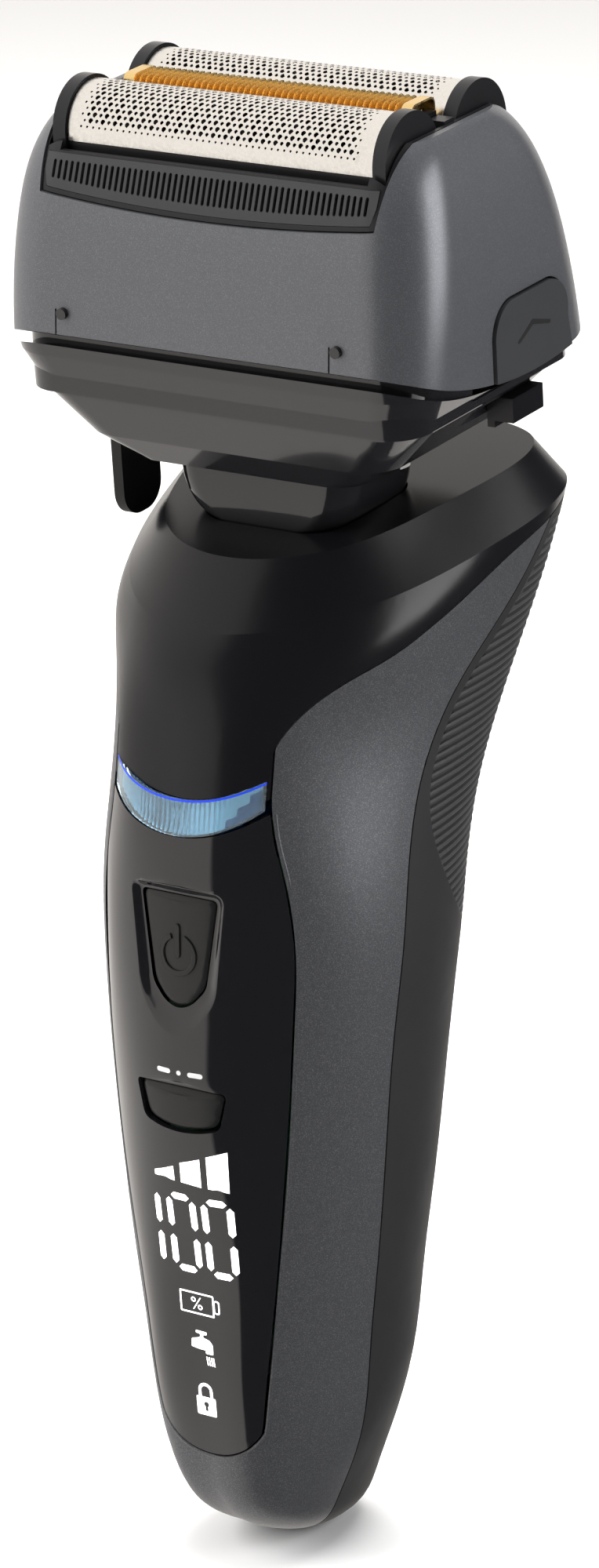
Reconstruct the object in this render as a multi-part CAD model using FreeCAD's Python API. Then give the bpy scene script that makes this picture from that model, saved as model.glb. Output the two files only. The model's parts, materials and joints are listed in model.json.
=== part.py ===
"""Electric foil shaver: a waterproof handle with a pivoting, lift-off two-foil head and a centre trimmer.

Frame: +Z runs up the handle, the front panel faces -Y, X is the width, and the origin lies on the small flat
under the handle, between its front edge and its back edge. Units are millimetres. The head is drawn upright
in its own frame, whose origin is just above the pivot, and is then leant forward by HEAD_LEAN and lifted
onto the neck.
"""
import FreeCAD, Part
import math
import os

V = FreeCAD.Vector
X_AXIS = V(1, 0, 0)
Y_AXIS = V(0, 1, 0)
Z_AXIS = V(0, 0, 1)

# ---- driving dimensions: handle ----------------------------------------------------------------------
WALL = 1.8             # moulded shell thickness
PAD_DEPTH = 1.0        # depth of the rubber grip pad in the rear shell
SEAM = 0.1             # half of the parting gap between two shells
FRONT = -45.0          # anything this far forward is outside the handle
BACK = 45.0
SIDE = 40.0

# One row per moulding station, lowest first: height at the front, lean of the station plane (rise per mm
# towards the back), then the right half of the outline from front to back as (x, y) points: front middle,
# panel edge, front shoulder, widest point, back shoulder, back middle.
STATIONS = [
    (0.0, 0.00, (-3.4, (1.8, -3.2), (2.9, -2.4), (3.9, 1.2), (2.8, 5.2), 6.3)),
    (0.9, 0.00, (-6.2, (2.4, -5.9), (3.9, -4.7), (5.3, -0.2), (3.9, 5.6), 7.2)),
    (2.4, 0.00, (-9.6, (3.2, -9.2), (5.0, -7.8), (7.0, -1.4), (5.3, 6.0), 8.1)),
    (4.8, 0.00, (-13.2, (4.1, -12.7), (6.1, -10.9), (8.4, -2.2), (6.6, 6.0), 9.0)),
    (9.0, 0.00, (-16.3, (5.1, -15.6), (7.4, -13.2), (10.1, -2.5), (8.0, 6.1), 10.0)),
    (14.0, 0.00, (-17.7, (6.0, -16.9), (8.6, -14.4), (11.9, -2.0), (9.4, 6.7), 11.2)),
    (20.0, 0.00, (-18.6, (7.0, -17.6), (10.0, -14.2), (13.4, -1.5), (10.9, 6.9), 12.0)),
    (32.0, 0.00, (-20.1, (8.6, -18.2), (11.6, -14.6), (15.0, -1.0), (12.0, 7.6), 12.7)),
    (44.0, 0.00, (-22.0, (10.1, -18.8), (13.0, -15.2), (16.5, -1.0), (13.2, 8.0), 13.3)),
    (56.0, 0.00, (-24.2, (11.2, -19.4), (14.3, -15.3), (17.5, -1.0), (14.0, 8.7), 13.9)),
    (68.0, 0.00, (-25.0, (12.0, -19.7), (15.2, -15.5), (18.3, -0.5), (14.6, 9.8), 14.8)),
    (80.0, 0.00, (-25.0, (11.8, -20.3), (15.3, -15.7), (18.6, 0.0), (14.9, 11.3), 16.2)),
    (92.0, 0.00, (-24.0, (10.0, -21.0), (13.8, -16.0), (19.0, 1.0), (15.6, 14.0), 18.8)),
    (101.0, 0.08, (-22.8, (9.8, -19.9), (14.0, -14.8), (20.0, 3.0), (17.0, 18.7), 22.3)),
    (109.7, 0.27, (-20.4, (8.5, -17.6), (14.0, -12.2), (21.3, 5.0), (20.4, 22.3), 27.0)),
]
RIM = (116.8, 0.24, (-14.8, (6.4, -13.2), (11.2, -9.3), (16.8, 4.0), (17.4, 20.3), 24.5))
DISH_RIM = (116.9, 0.24, (-13.4, (5.8, -11.9), (10.1, -8.3), (15.5, 4.0), (16.0, 19.0), 22.9))
DISH_FLOOR = (111.0, 0.24, (-10.4, (5.2, -9.8), (8.8, -7.6), (12.6, 0.0), (9.6, 8.6), 10.4))

PANEL_EDGE = [(6.6, 17.7), (7.1, 20.5), (8.6, 32.0), (10.1, 44.0), (11.3, 56.0), (12.1, 68.0), (12.3, 76.0),
              (11.6, 83.0), (10.6, 88.0), (10.0, 93.0)]      # (half width, height) of the glossy front panel
PANEL_FOOT = 13.9      # lowest point of the panel
BAR_HALF = 9.6         # half length of the light bar
BAR_TOP = (94.8, 92.2)       # height of its upper edge at the ends and in the middle
BAR_LOW = (91.6, 88.1)       # the same for the lower edge
BAR_DEPTH = 2.6

TOP_SEAM = [(-21.4, 94.0), (-20.9, 96.0), (-19.6, 99.2), (-17.0, 102.4), (-13.3, 105.0), (-8.6, 107.1),
            (-3.9, 109.3), (0.8, 111.4), (5.6, 113.7), (10.5, 115.9), (15.9, 117.9), (21.0, 120.2), (30.0, 122.0)]
REAR_SEAM = [(15.9, 117.9), (13.3, 113.8), (9.0, 109.1), (4.5, 105.0), (0.5, 100.7), (-2.3, 96.2), (-4.2, 91.7),
             (-5.9, 85.0), (-7.2, 74.6), (-8.0, 65.0), (-8.0, 51.9), (-7.4, 37.6), (-6.4, 23.6), (-5.7, 15.0),
             (-5.3, 6.0), (-5.2, -4.0)]                      # (y, z) in the side view
PAD_EDGE = [(17.2, 117.4), (14.4, 113.2), (10.1, 108.5), (5.6, 104.4), (1.6, 100.2), (-1.0, 95.8), (-2.4, 91.7),
            (-2.3, 87.0), (0.6, 80.6), (6.4, 73.6), (13.0, 69.0), (30.0, 66.0)]

POWER_Z = (68.5, 81.1)         # lowest and highest point of the power key
POWER_HALF = (3.4, 4.95)       # its half width at the bottom and at the top
POWER_POCKET = ((65.2, 82.3), (4.9, 6.1))   # the same two pairs for the pocket it lies in
POCKET_DEPTH = 0.6
SELECT_Z = (54.4, 59.1)
SELECT_HALF = (4.2, 5.6)
KEY_GAP = 0.2                  # clearance all round a key
KEY_TRAVEL = 0.6

NECK_Y = -0.5                  # the neck's middle, front to back
NECK_FOOT = (7.2, 7.0)         # half width and half depth of the stem
NECK_HEAD = (11.3, 7.6)        # the same where it carries the pivot
NECK_GAP = 0.2                 # clearance of the stem in the housing
NECK_CORNER = 3.2
NECK_Z = (101.6, 118.4, 124.2)  # foot, start of its flare, shoulder under the pivot
NECK_FLARE = [(0.0, 0.0), (1.2, 0.5), (3.2, 0.84), (5.8, 1.0)]   # (rise, share of the flare's width)
NECK_BORE = 4.4                # the drive shaft's way up the neck
CHEEK = (9.2, 11.2, 3.4, 131.0)          # inner x, outer x, half depth and top of the pivot cheeks

SOCKET_BORE = 1.8              # radius of the charging inlet
SOCKET_DEPTH = 9.0
SOCKET_Y = 2.5
MOTOR_AXIS_Y = -0.6
MOTOR_FLOOR = 82.0
CRANK = 1.0                    # throw of the drive pin
PIN_R = 0.8

# ---- driving dimensions: head, in its own frame -------------------------------------------------------
HEAD_LEAN = 6.0                # degrees forward at rest
HEAD_AT = V(0, -0.5, 130.2)
PARTING = (6.0, 63.2, 57.0)    # y, z and radius of the arc that parts the foil frame from the collar
PARTING_GAP = 1.2
HEAD_WALL = 1.5
# height, half width, half depth, middle y and corner radius of the outer outline
FRAME_STATIONS = [(4.0, 26.6, 19.4, 1.3, 6.0), (10.0, 26.9, 18.9, 0.9, 6.5), (17.0, 27.1, 17.7, 0.5, 7.0),
                  (24.0, 26.6, 16.1, 0.2, 7.0), (29.0, 25.6, 14.2, 0.0, 6.5), (32.2, 24.2, 12.3, 0.0, 6.0),
                  (34.0, 22.6, 10.2, 0.0, 5.0)]
COLLAR_STATIONS = [(-3.8, 14.4, 11.6, 0.0, 3.6), (-1.0, 19.4, 13.6, 0.2, 4.2), (3.6, 23.9, 15.8, 0.5, 5.0),
                   (8.5, 26.3, 17.8, 0.7, 5.6), (14.0, 27.0, 19.5, 0.9, 6.0)]
WINDOW_HALF = (21.0, 22.0)     # half width of the frame's front opening at its foot and at the top
WINDOW_FOOT = (26.2, 25.1)     # height of that foot at the corners and in the middle
BUTTON_GAP = 0.25
PIN_X = (-17.3, 17.3)          # the two retaining pins at the foot of the front face
YOKE_PIN = 1.25
PIVOT_DROP = -1.5              # height of the two crossed pivot axes
FIT = 0.05                     # radial clearance of the pivot pins
SLIDER_WINDOW = (-1.2, 10.9, 0.0, 3.0)   # y and z range of the window in the collar's right side
SLIDER_LENGTH = 6.3
DECK = (3.3, 6.4)              # underside and top of the floor inside the collar

FOIL_ROW = 6.75                # the two foils lie at y = -FOIL_ROW and +FOIL_ROW
FOIL_AXIS = 31.6               # height of the foil's arch centre
FOIL_R = 4.95
FOIL_T = 0.25
FOIL_HALF = 19.2
FOIL_FOOT = 31.05
CAP_R = 5.35
CAP_X = (19.3, 20.9)
FLOAT = 1.2                    # sprung travel of foils and trimmer
CUTTER_R = 4.45
CUTTER_HALF = 16.8
STROKE = 1.0                   # the cutters run this far each way
TRIM_HALF = 18.2
TRIM_PLATE = (2.1, 34.8, 35.4)  # half depth, underside, top
TRIM_STEM = (1.35, 31.2)


# ---- general helpers ----------------------------------------------------------------------------------
def box(x0, x1, y0, y1, z0, z1):
    """A block between two corners."""
    return Part.makeBox(x1 - x0, y1 - y0, z1 - z0, V(x0, y0, z0))


def rod(radius, length, base, axis=Z_AXIS):
    """A round bar from base along axis."""
    return Part.makeCylinder(radius, length, base, axis)


def tube(outer, inner, length, base, axis=Z_AXIS):
    """A round tube from base along axis."""
    return rod(outer, length, base, axis).cut(rod(inner, length, base, axis))


def fuse(shapes):
    """One solid from touching shapes."""
    whole = shapes[0]
    for shape in shapes[1:]:
        whole = whole.fuse(shape)
    return whole.removeSplitter()


def group(shapes):
    """Several separate solids in one node."""
    return Part.makeCompound(shapes)


def closed_curve(points):
    """A smooth closed wire through the points."""
    curve = Part.BSplineCurve()
    curve.interpolate(Points=points, PeriodicFlag=True)
    return Part.Wire([curve.toShape()])


def open_curve(points):
    """A smooth edge through the points."""
    curve = Part.BSplineCurve()
    curve.interpolate(Points=points)
    return curve.toShape()


def closed_profile(edges_and_points):
    """A wire from curves joined by straight lines: each item is an edge or a corner point."""
    edges = []
    last = None
    first = None
    for item in edges_and_points:
        start = item if isinstance(item, FreeCAD.Vector) else item.firstVertex().Point
        end = item if isinstance(item, FreeCAD.Vector) else item.lastVertex().Point
        if first is None:
            first = start
        if last is not None and last.distanceToPoint(start) > 1e-6:
            edges.append(Part.makeLine(last, start))
        if not isinstance(item, FreeCAD.Vector):
            edges.append(item)
        last = end
    if last.distanceToPoint(first) > 1e-6:
        edges.append(Part.makeLine(last, first))
    return Part.Wire(edges)


def slab(wire, direction):
    """A prism of a flat closed wire."""
    return Part.Face(wire).extrude(direction)


def rounded_plan(half_x, half_y, mid_y, radius, height):
    """A rounded rectangle at one height, as a wire of four lines and four arcs."""
    x, y = half_x - radius, half_y - radius
    k = radius * math.sqrt(0.5)
    corners = [(x, -y, 1, -1), (x, y, 1, 1), (-x, y, -1, 1), (-x, -y, -1, -1)]
    edges = []
    for index, (cx, cy, sx, sy) in enumerate(corners):
        along_x = V(cx + sx * radius, mid_y + cy, height)
        along_y = V(cx, mid_y + cy + sy * radius, height)
        middle = V(cx + sx * k, mid_y + cy + sy * k, height)
        start, end = (along_y, along_x) if index % 2 == 0 else (along_x, along_y)
        if edges:
            edges.append(Part.makeLine(edges[-1].lastVertex().Point, start))
        edges.append(Part.Arc(start, middle, end).toShape())
    edges.append(Part.makeLine(edges[-1].lastVertex().Point, edges[0].firstVertex().Point))
    return Part.Wire(edges)


def stacked(stations, inset=0.0, ruled=False):
    """A solid through rounded rectangles given as (height, half width, half depth, middle y, corner)."""
    plans = [rounded_plan(a - inset, b - inset, mid, max(r - inset, 0.8), z) for z, a, b, mid, r in stations]
    return Part.makeLoft(plans, True, ruled)


# ---- handle shape -------------------------------------------------------------------------------------
def outline(station, inset=0.0):
    """The closed outline of the handle at one station, moved inwards by inset."""
    height, lean, (front, edge, fore, wide, aft, back) = station
    rear_mid = (0.55 * wide[0], aft[1] + 0.68 * (back - aft[1]))
    half = [edge, fore, wide, aft, rear_mid]
    middle = (front + back) / 2
    loop = [(0.0, front)] + half + [(0.0, back)] + [(-x, y) for x, y in reversed(half)]
    points = []
    for x, y in loop:
        reach = math.hypot(x, y - middle)
        shrink = 1 - inset / reach
        px, py = x * shrink, middle + (y - middle) * shrink
        points.append(V(px, py, height + lean * (py - front)))
    return closed_curve(points)


def handle_solid(inset, lowest, highest):
    """The handle's outer form, or an inner offset of it, through some of its stations."""
    return Part.makeLoft([outline(s, inset) for s in STATIONS[lowest:highest]], True, False)


def handle_outer():
    """The whole outside of the handle, with the bevelled band up to its rim."""
    body = handle_solid(0.0, 0, len(STATIONS))
    band = Part.makeLoft([outline(STATIONS[-1]), outline(RIM)], True, True)
    return body.fuse(band)


def front_prism(wire):
    """Everything in front of the handle's middle that lies inside a front-view wire."""
    return slab(wire, V(0, -10 - FRONT, 0))


def side_prism(wire):
    """Everything inside a side-view wire, right across the handle."""
    return slab(wire, V(2 * SIDE, 0, 0))


def side_points(pairs, shift=(0.0, 0.0)):
    """Side-view points on the far left plane."""
    return [V(-SIDE, y + shift[0], z + shift[1]) for y, z in pairs]


def front_points(pairs):
    """Front-view points on the plane in front of the handle."""
    return [V(x, FRONT, z) for x, z in pairs]


def arch(half, end_z, mid_z):
    """A three-point arc across the front, from left to right."""
    left, middle, right = front_points([(-half, end_z), (0, mid_z), (half, end_z)])
    return Part.Arc(left, middle, right).toShape()


def panel_prism(grow):
    """The front panel's region, widened by grow."""
    right = open_curve(front_points([(x + grow, z) for x, z in PANEL_EDGE]))
    left = open_curve(front_points([(-x - grow, z) for x, z in reversed(PANEL_EDGE)]))
    foot_x, foot_z = PANEL_EDGE[0]
    foot = Part.Arc(*front_points([(-foot_x - grow, foot_z), (0, PANEL_FOOT - grow), (foot_x + grow, foot_z)]))
    top_x, top_z = PANEL_EDGE[-1]
    top = arch(top_x + grow, top_z, BAR_LOW[1] + 2.0)
    return front_prism(Part.Wire(Part.sortEdges([right, left, foot.toShape(), top])[0]))


def bar_prism(grow):
    """The light bar's region, grown all round."""
    half = BAR_HALF + grow
    upper = arch(half, BAR_TOP[0] + grow, BAR_TOP[1] + grow)
    lower = arch(half, BAR_LOW[0] - grow, BAR_LOW[1] - grow)
    sides = [Part.makeLine(upper.firstVertex().Point, lower.firstVertex().Point),
             Part.makeLine(upper.lastVertex().Point, lower.lastVertex().Point)]
    return front_prism(Part.Wire(Part.sortEdges([upper, lower] + sides)[0]))


def tongue_prism(grow):
    """The upper housing's tongue between the side frames, from the light bar up."""
    half = PANEL_EDGE[-1][0] + grow
    foot = arch(half, BAR_TOP[0] - 2.0, BAR_TOP[1] - 2.0)
    top = front_points([(half, 101.0), (-half, 101.0)])
    return front_prism(closed_profile([foot] + top))


def crown_prism(drop):
    """Everything above the seam between the upper housing and the shells under it."""
    seam = open_curve(side_points(TOP_SEAM, (0.0, -drop)))
    corners = [V(-SIDE, BACK, 122.0 - drop), V(-SIDE, BACK, 140), V(-SIDE, FRONT, 140), V(-SIDE, FRONT, 94.0 - drop)]
    return side_prism(closed_profile([seam] + corners))


def rear_prism(shift):
    """Everything behind the seam between the side frame and the rear shell."""
    seam = open_curve(side_points(REAR_SEAM, (shift, 0.0)))
    corners = [V(-SIDE, BACK, -4), V(-SIDE, BACK, 130), V(-SIDE, 15.9 + shift, 130)]
    return side_prism(closed_profile([seam] + corners))


def pad_prism():
    """The side-view region of the grip pad."""
    edge = open_curve(side_points(PAD_EDGE))
    corners = [V(-SIDE, BACK, 66), V(-SIDE, BACK, 117.4)]
    return side_prism(closed_profile([edge] + corners))


def key_prism(heights, halves, grow, corner):
    """A key's front-view region: an upside-down trapezoid with a rounded foot."""
    low, high = heights[0] - grow, heights[1] + grow
    foot, head = halves[0] + grow, halves[1] + grow
    right = Part.makeLine(*front_points([(head, high), (foot, low + corner)]))
    left = Part.makeLine(*front_points([(-foot, low + corner), (-head, high)]))
    sole = Part.Arc(*front_points([(foot, low + corner), (0, low), (-foot, low + corner)])).toShape()
    brow = Part.makeLine(*front_points([(-head, high), (head, high)]))
    return front_prism(Part.Wire([brow, right, sole, left]))


# ---- handle parts -------------------------------------------------------------------------------------
def handle_parts():
    """The shells, keys, lens and everything inside the handle."""
    outer = handle_outer()
    hollow = handle_solid(WALL, 3, len(STATIONS) - 1)
    deep_hollow = handle_solid(WALL, 3, len(STATIONS))
    under_pad = handle_solid(PAD_DEPTH, 9, len(STATIONS))
    skin = outer.cut(hollow)

    power_hole = key_prism(POWER_Z, POWER_HALF, KEY_GAP, 2.6)
    select_hole = key_prism(SELECT_Z, SELECT_HALF, KEY_GAP, 1.6)
    key_band = box(-SIDE, SIDE, FRONT, -14, 50, 86)
    recess = handle_solid(0.8, 8, 13)
    panel = skin.common(panel_prism(-SEAM)).cut(bar_prism(SEAM)).cut(power_hole).cut(select_hole)
    pocket = key_prism(*POWER_POCKET, 0.0, 4.6).cut(handle_solid(POCKET_DEPTH, 8, 13)).common(key_band)
    panel = panel.cut(pocket)

    keys = {}
    for name, heights, halves, corner in (("power_key", POWER_Z, POWER_HALF, 2.6),
                                          ("select_key", SELECT_Z, SELECT_HALF, 1.6)):
        cap = recess.common(key_prism(heights, halves, 0.0, corner)).common(key_band)
        back = handle_solid(WALL + 0.4, 8, 13)
        keys[name] = cap.cut(back)

    lens = skin.common(bar_prism(0.0))
    crown = crown_prism(-SEAM)
    housing = skin.common(fuse([crown, tongue_prism(-SEAM)])).cut(bar_prism(SEAM)).cut(panel_prism(SEAM))
    dish = Part.makeLoft([outline(DISH_FLOOR), outline(DISH_RIM)], True, True)
    neck_room = neck_stack(NECK_GAP)
    housing = housing.cut(dish).cut(neck_room)

    skin = outer.cut(deep_hollow)
    rear = skin.common(rear_prism(SEAM)).cut(crown_prism(SEAM))
    pad_zone = pad_prism()
    pad = rear.common(pad_zone).cut(under_pad)
    rear = rear.cut(pad)
    flanks = skin.cut(rear_prism(-SEAM)).cut(crown_prism(SEAM)).cut(panel_prism(SEAM)).cut(tongue_prism(SEAM))
    flanks = flanks.cut(bar_prism(SEAM))

    socket_body = rod(3.2, SOCKET_DEPTH + 3.0, V(0, SOCKET_Y, 0))
    socket_bore = rod(SOCKET_BORE, SOCKET_DEPTH, V(0, SOCKET_Y, 0))
    socket_hole = rod(3.25, SOCKET_DEPTH + 3.0, V(0, SOCKET_Y, -1))
    return {"front_panel": panel, "upper_housing": housing, "light_bar": lens, "side_frame": flanks.cut(socket_hole),
            "rear_shell": rear.cut(socket_hole), "grip_pad": pad, "charging_socket": socket_body.cut(socket_bore), **keys}


def inner_parts():
    """The battery, electronics, motor and neck that the shells hold."""
    plate = box(-9.0, 9.0, -11.4, -9.9, 22, 81.5)
    cradle = box(-12, 12, -11.4, 9, 80, 81.5)
    chassis = fuse([plate, cradle])
    board = box(-8.0, 8.0, -13.9, -12.8, 28, 84)
    standoffs = [box(x - 1.2, x + 1.2, -12.8, -11.4, z - 1.2, z + 1.2) for x in (-6.5, 6.5) for z in (31, 78)]
    chassis = fuse([chassis] + standoffs)
    screws = [rod(1.3, 0.9, V(x, -13.9, z), -Y_AXIS) for x in (-6.5, 6.5) for z in (31, 78)]
    display = box(-4.8, 4.8, -15.9, -13.9, 29, 50)
    power_switch = box(-2.5, 2.5, -21.7, -13.9, 74, 79)
    select_switch = box(-2.5, 2.5, -20.7, -13.9, 54.8, 58.8)
    guide = box(-6, 6, -20.2, -13.4, 88.6, 90.4).fuse(box(-2, 2, -13.9, -12.8, 84, 90.4)).removeSplitter()
    cell = rod(7.1, 50, V(0, -2.6, 21.5))
    tabs = [box(-2.5, 2.5, -9.0, 3.0, 20.9, 21.5), box(-2.5, 2.5, -9.0, 3.0, 71.5, 72.1)]
    axis_foot = V(0, MOTOR_AXIS_Y, MOTOR_FLOOR)
    can = rod(9.6, 18, axis_foot).common(box(-10, 10, MOTOR_AXIS_Y - 7.4, MOTOR_AXIS_Y + 7.4, 80, 110))
    boss = tube(3.0, 1.05, 1.5, V(0, MOTOR_AXIS_Y, MOTOR_FLOOR + 18))
    seal = tube(NECK_BORE - 0.1, 1.05, 2.0, V(0, MOTOR_AXIS_Y, 112))
    return {"inner_chassis": chassis, "main_board": board, "board_screws": group(screws), "display_module": display,
            "power_switch": power_switch, "select_switch": select_switch, "light_guide": guide,
            "battery_cell": cell, "battery_tabs": group(tabs), "motor": fuse([can, boss]), "shaft_seal": seal,
            "drive_crank": crank(), "neck_post": neck()}


def crank():
    """The motor's shaft, its crank disc and the off-centre pin that drives the cutters."""
    shaft = rod(1.0, 19.8, V(0, MOTOR_AXIS_Y, MOTOR_FLOOR + 18.2))
    disc = rod(3.2, 2.0, V(0, MOTOR_AXIS_Y, 118))
    pin = rod(PIN_R, 13.8, V(0, MOTOR_AXIS_Y + CRANK, 120))
    return fuse([shaft, disc, pin])


def neck_stack(grow):
    """The neck's stem, its flare and its shoulder, grown all round."""
    foot, flare, shoulder = NECK_Z
    slim = (NECK_FOOT[0] + grow, NECK_FOOT[1] + grow)
    spread = (NECK_HEAD[0] - NECK_FOOT[0], NECK_HEAD[1] - NECK_FOOT[1])
    stem = slab(rounded_plan(*slim, NECK_Y, NECK_CORNER, foot), V(0, 0, flare - foot))
    plans = [rounded_plan(slim[0] + share * spread[0], slim[1] + share * spread[1], NECK_Y, NECK_CORNER, flare + rise)
             for rise, share in NECK_FLARE]
    return fuse([stem, Part.makeLoft(plans, True, False)])


def neck():
    """The post that stands in the dish and carries the pivot between two cheeks."""
    foot, shoulder = NECK_Z[0], NECK_Z[-1]
    inner, outer_x, depth, cheek_top = CHEEK
    cheeks = [box(x, x + outer_x - inner, NECK_Y - depth, NECK_Y + depth, shoulder, cheek_top)
              for x in (inner, -outer_x)]
    whole = fuse([neck_stack(0.0)] + cheeks)
    whole = whole.cut(rod(NECK_BORE, 40, V(0, MOTOR_AXIS_Y, foot)))
    pivot = HEAD_AT + FreeCAD.Rotation(X_AXIS, HEAD_LEAN).multVec(V(0, 0, PIVOT_DROP))
    return whole.cut(rod(YOKE_PIN + FIT, 2 * SIDE, V(-SIDE, pivot.y, pivot.z), X_AXIS))


# ---- head parts ---------------------------------------------------------------------------------------
def parting_drum(extra):
    """The drum whose lower side parts the foil frame from the collar."""
    y, z, radius = PARTING
    return rod(radius + extra, 2 * SIDE, V(-SIDE, y, z), X_AXIS)


def window_prism(shrink):
    """The front and back opening of the foil frame, up to its open top."""
    foot, top = WINDOW_HALF[0] - shrink, WINDOW_HALF[1] - shrink
    corner, middle = WINDOW_FOOT[0] + shrink, WINDOW_FOOT[1] + shrink
    sill = arch(foot, corner, middle)
    return slab(closed_profile([sill] + front_points([(top, 36), (-top, 36)])), V(0, BACK - FRONT, 0))


def comb_prism(shrink):
    """The front-view region of a comb panel inside that opening."""
    foot, top = WINDOW_HALF[0] - 0.7 - shrink, WINDOW_HALF[0] - 0.2 - shrink
    sill = arch(foot, WINDOW_FOOT[0] + 0.6 + shrink, WINDOW_FOOT[1] + 0.7 + shrink)
    return slab(closed_profile([sill] + front_points([(top, 30.2), (-top, 30.2)])), V(0, BACK - FRONT, 0))


def button_prism(side, grow):
    """The side-view region of a release button."""
    low, high = 5.0 - grow, 15.3 + grow
    start, end = (20.0, 12.0) if side > 0 else (-32.0, 12.0)
    foot = [V(start, -1.9 - grow, low), V(start, 13.9 + grow, low)]
    back = Part.Arc(V(start, 12.4 + grow, 10.5), V(start, 11.4 + grow, 13.9), V(start, 8.6, high)).toShape()
    front = Part.Arc(V(start, 1.4, high), V(start, -1.4 - grow, 14.2 + grow * 0.6), V(start, -2.4 - grow, 11.0)).toShape()
    return slab(closed_profile([foot[0], foot[1], back, front]), V(end, 0, 0))


def foil_head_parts():
    """The lift-off head: grey frame, black cassette, combs, buttons and small parts."""
    shell = stacked(FRAME_STATIONS).cut(stacked(FRAME_STATIONS, HEAD_WALL)).common(parting_drum(0.0))
    frame = shell.cut(window_prism(0.0))
    buttons = {}
    raised = stacked(FRAME_STATIONS, -0.35).cut(stacked(FRAME_STATIONS, HEAD_WALL - 0.2)).common(parting_drum(0.0))
    for side, name in ((1, "release_button_right"), (-1, "release_button_left")):
        frame = frame.cut(button_prism(side, BUTTON_GAP))
        buttons[name] = raised.common(button_prism(side, 0.0))
    pins = [rod(0.62, 2.2, V(x, -18.1, 13.8), Y_AXIS) for x in PIN_X]
    for x in PIN_X:
        frame = frame.cut(rod(0.64, 8, V(x, -20, 13.8), Y_AXIS))
        frame = frame.cut(box(x - 1.05, x - 0.85, -20, -12, 9, 14.2))

    upper = stacked(FRAME_STATIONS, 0.3).common(window_prism(0.15))
    skirt = stacked(FRAME_STATIONS[1:], HEAD_WALL + 0.25).common(box(-SIDE, SIDE, FRONT, BACK, 16, 27.5))
    open_x, open_y = 21.15, 12.6
    mouth = box(-open_x, open_x, -open_y, open_y, 10, 40)
    low_room = stacked(FRAME_STATIONS[1:4], 3.4)
    sill_cut = [box(-FOIL_HALF - 0.1, FOIL_HALF + 0.1, y, y + 20, 30.4, 40) for y in (-30, 10)]
    cassette = fuse([upper, skirt]).cut(mouth).cut(low_room).cut(group(sill_cut))
    lugs = [box(min(x, x + s), max(x, x + s), 3.4, 8.0, 8.5, 17.5) for x, s in ((19.4, 1.2), (-19.4, -1.2))]
    braces = [box(min(x, x + s), max(x, x + s), 3.4, 8.0, 16.2, 17.5) for x, s in ((19.4, 5.0), (-19.4, -5.0))]
    bridges = [box(x, x + 2.0, -1.0, 1.0, 27.0, 34.4) for x in (19.3, -21.3)]
    cassette = fuse([cassette] + lugs + braces + bridges)
    combs = {}
    comb_zone = comb_prism(0.0)
    skin = stacked(FRAME_STATIONS, 0.25).cut(stacked(FRAME_STATIONS, 0.9)).common(comb_zone)
    pocket = stacked(FRAME_STATIONS, 0.2).cut(stacked(FRAME_STATIONS, 0.95)).common(comb_prism(-0.05))
    cassette = cassette.cut(pocket)
    combs["front_comb"] = skin.common(box(-SIDE, SIDE, FRONT, 0, 20, 40))
    combs["rear_comb"] = skin.common(box(-SIDE, SIDE, 0, BACK, 20, 40))
    springs = [tube(1.7, 1.3, 2.6, V(x, 5.7, 11.2), X_AXIS) for x in (20.6, -23.2)]
    return {"foil_frame": frame, "foil_cassette": cassette, "retaining_pins": group(pins),
            "release_springs": group(springs), **buttons, **combs}


def foil_parts(row, name):
    """One sprung foil with its D-shaped end caps and rails."""
    inward = -1 if row > 0 else 1
    arc_end = FOIL_R - 0.6
    arch_ring = tube(FOIL_R, FOIL_R - FOIL_T, 2 * FOIL_HALF, V(-FOIL_HALF, row, FOIL_AXIS), X_AXIS)
    keep_low, keep_high = sorted((row - inward * (FOIL_R + 1), row + inward * arc_end))
    sheet = arch_ring.common(box(-FOIL_HALF, FOIL_HALF, keep_low, keep_high, FOIL_AXIS, 40))
    leg_y = row - inward * FOIL_R
    leg = box(-FOIL_HALF, FOIL_HALF, min(leg_y, leg_y + inward * FOIL_T), max(leg_y, leg_y + inward * FOIL_T),
              FOIL_FOOT, FOIL_AXIS)
    foil = fuse([sheet, leg])
    pieces = []
    for x in (CAP_X[0], -CAP_X[1]):
        disc = rod(CAP_R, CAP_X[1] - CAP_X[0], V(x, row, FOIL_AXIS), X_AXIS)
        upper = disc.common(box(x, x + 3, row - CAP_R, row + CAP_R, FOIL_AXIS, 40))
        block = box(x, x + CAP_X[1] - CAP_X[0], row - CAP_R, row + CAP_R, 29.2, FOIL_AXIS)
        pieces += [upper, block]
    low, high = sorted((leg_y, leg_y + inward * 0.4))
    pieces.append(box(-CAP_X[0], CAP_X[0], low, high, 29.4, FOIL_FOOT - 0.05))
    return {f"{name}_foil": foil, f"{name}_foil_holder": fuse(pieces)}


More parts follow.
